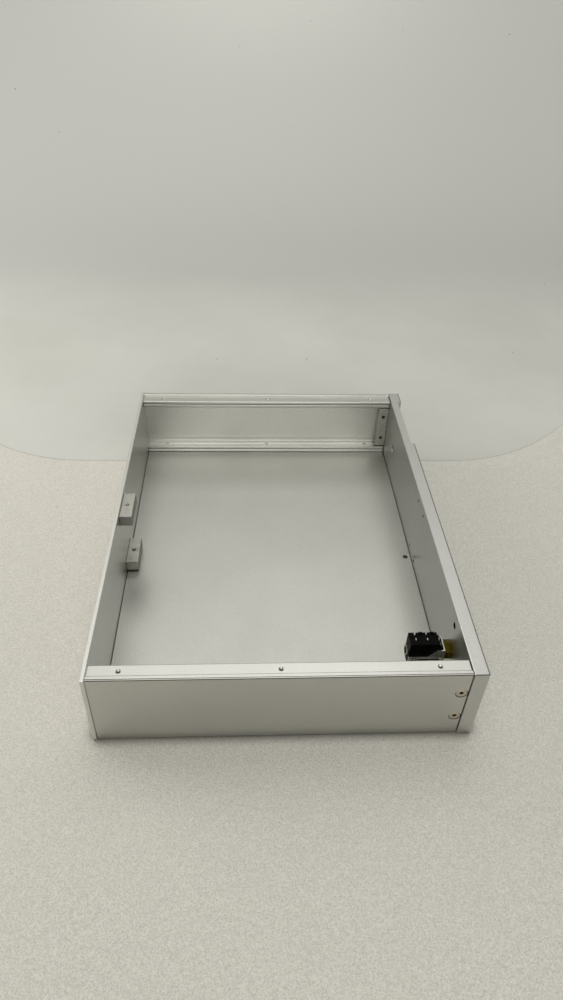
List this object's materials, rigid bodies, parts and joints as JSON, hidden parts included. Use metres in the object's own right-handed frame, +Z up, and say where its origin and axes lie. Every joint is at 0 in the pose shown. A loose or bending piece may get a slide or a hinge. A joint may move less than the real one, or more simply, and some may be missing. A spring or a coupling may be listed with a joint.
{
  "type": "amplifier chassis",
  "caption": "Open amplifier chassis of aluminium: thick front panel with knob recess, thin rear panel, extruded side panels, bottom plate, fixing blocks and a headphone jack.",
  "frame": {"origin": "bottom centre of the chassis, on the surface it stands on", "axes": "+X from the rear panel to the front panel, +Y from the left side to the right side as seen from the front, +Z up"},
  "size_m": [0.262, 0.35, 0.066],
  "materials": {
    "anodised_aluminium": "bead-blasted and anodised silver",
    "machined_aluminium": "sawn and milled, bare",
    "screw_steel": "zinc-nickel plated, dull",
    "moulded_black": "moulded, semi-gloss",
    "plated_steel": "bright nickel plated",
    "turned_brass": "turned, bright"
  },
  "bodies": {
    "root": {"front_panel": "anodised_aluminium", "rear_panel": "anodised_aluminium", "left_side_panel": "anodised_aluminium", "right_side_panel": "anodised_aluminium", "bottom_plate": "anodised_aluminium", "left_corner_block": "machined_aluminium", "right_corner_block": "machined_aluminium", "upper_rear_block": "machined_aluminium", "lower_rear_block": "machined_aluminium", "side_screws": "screw_steel", "corner_block_screws": "screw_steel", "rear_block_screws": "screw_steel", "rear_panel_screws": "screw_steel", "bottom_plate_screws": "screw_steel", "jack_body": "moulded_black", "jack_frame": "plated_steel", "jack_outer_nut": "plated_steel", "jack_tip_contact": "plated_steel", "jack_ring_contact": "plated_steel", "jack_sleeve_contact": "plated_steel", "jack_rear_ferrule": "plated_steel", "jack_rivet": "plated_steel", "jack_side_spring": "plated_steel", "jack_bush": "turned_brass", "jack_inner_nut": "turned_brass"}
  },
  "joints": []
}
